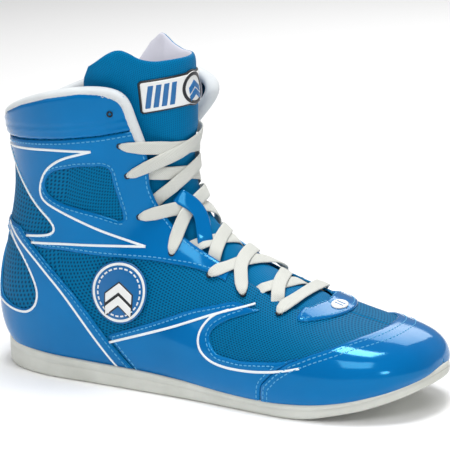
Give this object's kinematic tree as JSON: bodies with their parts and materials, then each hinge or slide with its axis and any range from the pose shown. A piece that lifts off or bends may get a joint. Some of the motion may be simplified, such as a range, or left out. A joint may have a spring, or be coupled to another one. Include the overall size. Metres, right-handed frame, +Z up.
{
  "type": "boxing boot",
  "caption": "High-top lace-up boxing boot with glossy overlays on mesh, padded tongue, side badges and a thin flat rubber sole.",
  "frame": {"origin": "bottom centre of the boot's box, on the ground under the middle of the sole", "axes": "+X from the heel to the toe, +Y from the outer side to the inner side of this right boot, +Z up"},
  "size_m": [0.2878, 0.098, 0.1984],
  "materials": {
    "sole_rubber": "smooth off-white moulded rubber",
    "midsole_foam": "soft white foam",
    "board_fibre": "pressed fibre board",
    "liner_grey": "brushed knit on thin foam",
    "mesh_blue": "open knitted mesh",
    "patent_blue": "high-gloss patent synthetic leather",
    "badge_white": "moulded soft plastic",
    "stiffener_grey": "thermoplastic sheet",
    "padding_white": "open foam",
    "binding_white": "folded synthetic tape",
    "lining_white": "smooth brushed lining",
    "tongue_blue": "padded knit",
    "eyelet_black": "black painted metal",
    "lace_white": "flat woven lace"
  },
  "bodies": {
    "boot": {"outsole": "sole_rubber", "tread_plate": "sole_rubber", "midsole": "midsole_foam", "insole_board": "board_fibre", "vamp_mesh": "mesh_blue", "lateral_quarter": "mesh_blue", "medial_quarter": "mesh_blue", "lateral_eyestay": "patent_blue", "medial_eyestay": "patent_blue", "lateral_collar_panel": "patent_blue", "medial_collar_panel": "patent_blue", "lateral_heel_panel": "patent_blue", "medial_heel_panel": "patent_blue", "lateral_side_panel": "patent_blue", "medial_side_panel": "patent_blue", "toe_cap": "patent_blue", "throat_patch": "patent_blue", "back_stay": "patent_blue", "lace_keeper": "patent_blue", "medallion": "badge_white", "lateral_badge": "badge_white", "medial_badge": "badge_white", "toe_puff": "stiffener_grey", "heel_counter": "stiffener_grey", "collar_padding": "padding_white", "collar_binding": "binding_white", "lining": "lining_white", "tongue_lower": "tongue_blue", "lateral_eyelets": "eyelet_black", "medial_eyelets": "eyelet_black", "lace": "lace_white"},
    "tongue_top": {"tongue_top": "tongue_blue", "tongue_label": "badge_white"},
    "sock_liner": {"sock_liner": "liner_grey"}
  },
  "joints": [
    {"name": "tongue_fold", "type": "hinge", "parent": "boot", "child": "tongue_top", "pos_m": [-0.0166, 0, 0.1505], "axis": [0, 1, 0], "range_deg": [0, 25]},
    {"name": "liner_lift", "type": "hinge", "parent": "boot", "child": "sock_liner", "pos_m": [0.1214, 0, 0.022], "axis": [0, 1, 0], "range_deg": [0, 8]}
  ]
}
